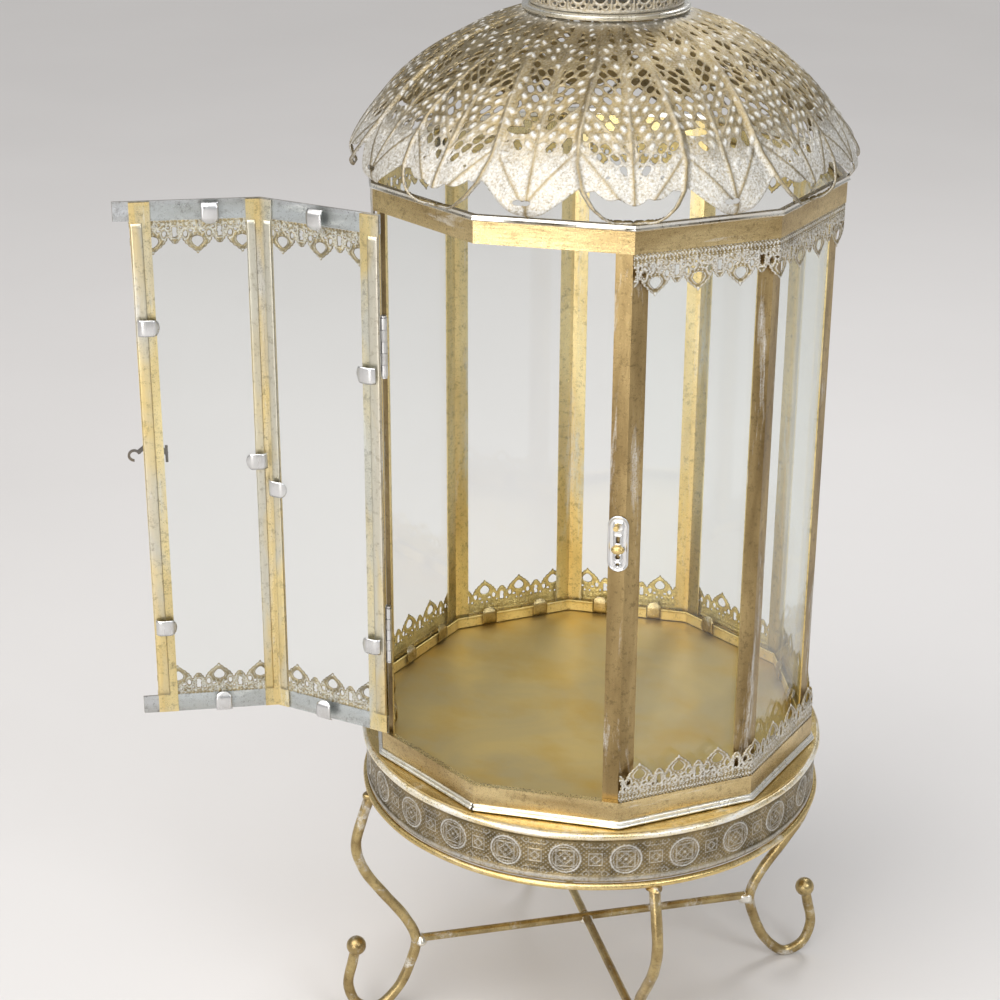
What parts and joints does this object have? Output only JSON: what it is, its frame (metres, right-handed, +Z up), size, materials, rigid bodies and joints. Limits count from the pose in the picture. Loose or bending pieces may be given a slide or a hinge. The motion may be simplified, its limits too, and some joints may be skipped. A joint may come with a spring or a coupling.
{
  "type": "glazed display lantern",
  "caption": "Ten-sided glazed metal display lantern with a pierced dome, a two-panel hinged glass door and a drum base on scrolled legs.",
  "frame": {"origin": "centre of the display floor's top face, on the cabinet's vertical axis", "axes": "+Z up along the cabinet's axis; -Y out through the middle of the doorway; +X to the right seen from the front"},
  "size_m": [0.4304, 0.3765, 0.8476],
  "materials": {
    "antique_gold": "antique gold, brushed over black, worn",
    "washed_gold": "antique gold with a white wash on the raised relief",
    "floor_gold": "mottled antique gold, satin",
    "pale_metal": "pale silver-gold, satin",
    "steel": "satin",
    "glass": "clear sheet"
  },
  "bodies": {
    "cabinet": {"corner_post_1": "antique_gold", "corner_post_2": "antique_gold", "corner_post_3": "antique_gold", "corner_post_4": "antique_gold", "corner_post_5": "antique_gold", "corner_post_6": "antique_gold", "corner_post_7": "antique_gold", "display_floor": "floor_gold", "dome": "washed_gold", "dome_collar": "pale_metal", "drum_bottom_rim": "antique_gold", "drum_frieze_band": "washed_gold", "drum_top_plate": "antique_gold", "drum_top_rim": "antique_gold", "finial": "antique_gold", "glass_pane_1": "glass", "glass_pane_2": "glass", "glass_pane_3": "glass", "glass_pane_4": "glass", "glass_pane_5": "glass", "glass_pane_6": "glass", "glass_pane_7": "glass", "glass_pane_8": "glass", "hinge_post": "antique_gold", "lace_bottom": "washed_gold", "lace_top": "washed_gold", "latch_knob": "antique_gold", "latch_peg": "antique_gold", "latch_plate": "steel", "latch_post": "antique_gold", "leg_back_left": "antique_gold", "leg_back_right": "antique_gold", "leg_front_left": "antique_gold", "leg_front_right": "antique_gold", "lower_hinge_pin": "steel", "lower_hinge_post_leaf": "steel", "neck_cap": "antique_gold", "neck_gallery": "washed_gold", "plinth_band": "antique_gold", "plinth_foot_bead": "pale_metal", "stretcher_back_bar": "antique_gold", "stretcher_front_bar": "antique_gold", "stretcher_long_bar": "antique_gold", "top_band": "antique_gold", "top_band_bead": "pale_metal", "upper_hinge_pin": "steel", "upper_hinge_post_leaf": "steel"},
    "door": {"door_bottom_rail": "pale_metal", "door_hinge_stile": "antique_gold", "door_lace_bottom": "washed_gold", "door_lace_top": "washed_gold", "door_latch_stile": "antique_gold", "door_middle_stile": "antique_gold", "door_pane_1": "glass", "door_pane_2": "glass", "door_top_rail": "pale_metal", "lower_hinge_door_leaf": "steel", "upper_hinge_door_leaf": "steel", "hook_rivet": "steel"},
    "latch_hook": {"latch_hook": "steel"}
  },
  "joints": [
    {"name": "door_hinge", "type": "hinge", "parent": "cabinet", "child": "door", "pos_m": [-0.08943, -0.1339, 0.1935], "axis": [0, 0, 1], "range_deg": [-20, 158]},
    {"name": "latch_hook_pivot", "type": "hinge", "parent": "door", "child": "latch_hook", "pos_m": [-0.24316, -0.19465, 0.2203], "axis": [-0.6428, 0.766, 0], "range_deg": [-30, 55]}
  ]
}
